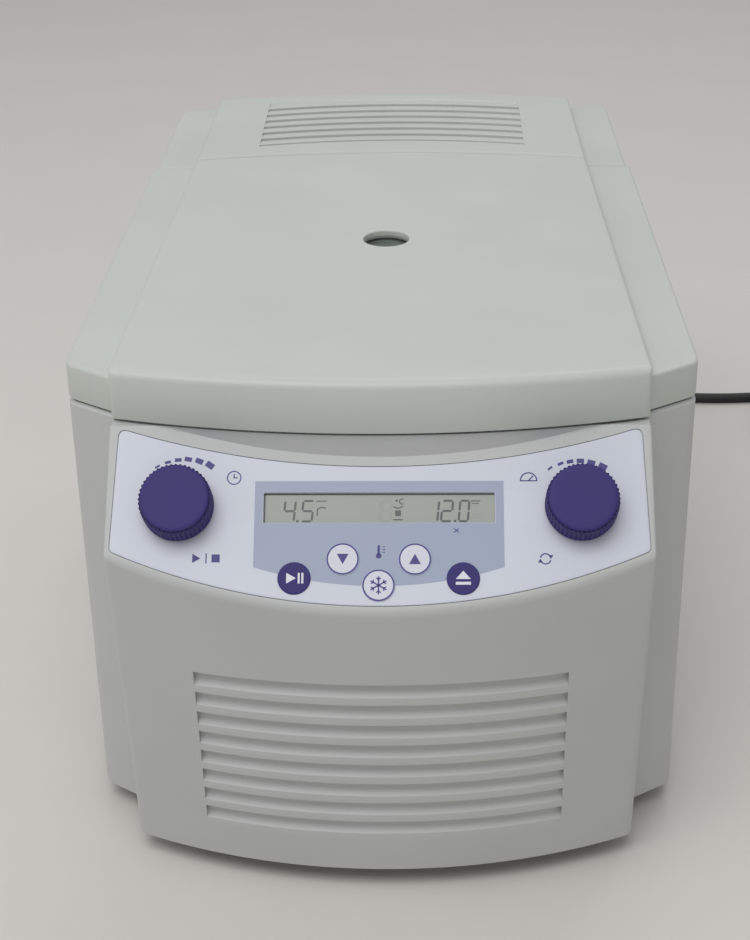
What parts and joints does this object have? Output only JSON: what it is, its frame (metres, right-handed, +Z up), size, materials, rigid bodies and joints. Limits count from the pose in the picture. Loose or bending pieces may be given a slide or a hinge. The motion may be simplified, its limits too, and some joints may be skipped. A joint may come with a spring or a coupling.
{
  "type": "refrigerated microcentrifuge",
  "caption": "Bench-top refrigerated microcentrifuge with a hinged lid over a cooled rotor chamber, a sloped control panel, louvred front and mains lead.",
  "frame": {"origin": "middle of the machine's footprint on the table, the lead left out", "axes": "+Z up, -Y to the front with the control panel, +X to the right seen from the front"},
  "size_m": [0.5162, 0.6055, 0.2534],
  "materials": {
    "shell": "satin grey-white plastic",
    "lid": "satin pale plastic",
    "overlay": "satin film",
    "lens": "clear pale window",
    "knob": "satin violet-blue plastic",
    "white_key": "satin white plastic",
    "black_plastic": "matt black plastic",
    "board": "green circuit board",
    "steel": "zinc-plated sheet steel",
    "painted": "powder-coated sheet steel",
    "black_painted": "gloss black enamel",
    "aluminium": "anodised",
    "rotor": "dark anodised",
    "glass": "clear",
    "rubber": "matt black rubber",
    "foam": "closed-cell foam",
    "cable": "black cable sheath"
  },
  "bodies": {
    "cabinet": {"housing_shell": "shell", "front_fascia": "shell", "keypad_overlay": "overlay", "display_window": "lens", "display_module": "black_plastic", "control_board": "board", "knob_encoders": "black_plastic", "rear_cover": "lid", "base_pan": "steel", "feet": "rubber", "rear_panel": "painted", "housing_screws": "steel", "bulkhead": "steel", "rotor_bowl": "steel", "chamber_gasket": "rubber", "evaporator_jacket": "aluminium", "bowl_insulation": "foam", "motor_dampers": "rubber", "motor_plate": "steel", "motor": "black_painted", "shaft_seal": "rubber", "hinge_rail": "steel", "hinge_brackets": "steel", "hinge_pins": "steel", "latch_housing": "black_plastic", "power_board": "board", "compressor_mounts": "rubber", "compressor": "black_painted", "condenser": "aluminium", "fan_shroud": "black_plastic", "power_inlet": "black_plastic", "cord": "cable", "cord_coil": "cable", "cord_connector": "black_plastic", "cord_plug": "black_plastic"},
    "lid": {"lid_cover": "lid", "lid_liner": "lid", "liner_screws": "steel", "sight_tube": "lens", "window_glass": "glass", "hinge_arms": "steel", "lid_striker": "steel"},
    "rotor_set": {"motor_shaft": "steel", "rotor": "rotor", "rotor_lid": "rotor", "rotor_knob": "black_plastic"},
    "fan": {"condenser_fan": "black_plastic"},
    "time_stem": {"time_shaft": "steel"},
    "time_dial": {"time_knob": "knob"},
    "speed_stem": {"speed_shaft": "steel"},
    "speed_dial": {"speed_knob": "knob"},
    "bolt": {"latch_bolt": "steel"},
    "rocker": {"power_rocker": "black_plastic"},
    "short_run_key_cap": {"short_run_key": "knob"},
    "temp_down_key_cap": {"temp_down_key": "white_key"},
    "fast_cool_key_cap": {"fast_cool_key": "white_key"},
    "temp_up_key_cap": {"temp_up_key": "white_key"},
    "lid_open_key_cap": {"lid_open_key": "knob"}
  },
  "joints": [
    {"name": "lid_hinge", "type": "hinge", "parent": "cabinet", "child": "lid", "pos_m": [0, 0.1368, 0.2444], "axis": [-1, 0, 0], "range_deg": [0, 75]},
    {"name": "rotor_spin", "type": "hinge", "parent": "cabinet", "child": "rotor_set", "pos_m": [0, -0.0161, 0.15], "axis": [0, 0, 1], "continuous": true},
    {"name": "fan_spin", "type": "hinge", "parent": "cabinet", "child": "fan", "pos_m": [0.0799, 0.2113, 0.095], "axis": [0, 1, 0], "continuous": true},
    {"name": "time_press", "type": "slide", "parent": "cabinet", "child": "time_stem", "axis": [0, 0.7071, -0.7071], "range_m": [0, 0.0008], "stiffness_N_per_m": 1500},
    {"name": "time_turn", "type": "hinge", "parent": "time_stem", "child": "time_dial", "pos_m": [-0.0892, -0.2133, 0.20181], "axis": [0, -0.7071, 0.7071], "continuous": true},
    {"name": "speed_press", "type": "slide", "parent": "cabinet", "child": "speed_stem", "axis": [0, 0.7071, -0.7071], "range_m": [0, 0.0008], "stiffness_N_per_m": 1500},
    {"name": "speed_turn", "type": "hinge", "parent": "speed_stem", "child": "speed_dial", "pos_m": [0.0892, -0.2133, 0.20181], "axis": [0, -0.7071, 0.7071], "continuous": true},
    {"name": "latch_slide", "type": "slide", "parent": "cabinet", "child": "bolt", "axis": [-1, 0, 0], "range_m": [0, 0.012]},
    {"name": "mains_rocker", "type": "hinge", "parent": "cabinet", "child": "rocker", "pos_m": [0, 0.2308, 0.072], "axis": [-1, 0, 0], "range_deg": [0, 12]},
    {"name": "short_run_key_press", "type": "slide", "parent": "cabinet", "child": "short_run_key_cap", "axis": [0, 0.7071, -0.7071], "range_m": [0, 0.0005], "stiffness_N_per_m": 2000},
    {"name": "temp_down_key_press", "type": "slide", "parent": "cabinet", "child": "temp_down_key_cap", "axis": [0, 0.7071, -0.7071], "range_m": [0, 0.0005], "stiffness_N_per_m": 2000},
    {"name": "fast_cool_key_press", "type": "slide", "parent": "cabinet", "child": "fast_cool_key_cap", "axis": [0, 0.7071, -0.7071], "range_m": [0, 0.0005], "stiffness_N_per_m": 2000},
    {"name": "temp_up_key_press", "type": "slide", "parent": "cabinet", "child": "temp_up_key_cap", "axis": [0, 0.7071, -0.7071], "range_m": [0, 0.0005], "stiffness_N_per_m": 2000},
    {"name": "lid_open_key_press", "type": "slide", "parent": "cabinet", "child": "lid_open_key_cap", "axis": [0, 0.7071, -0.7071], "range_m": [0, 0.0005], "stiffness_N_per_m": 2000}
  ]
}
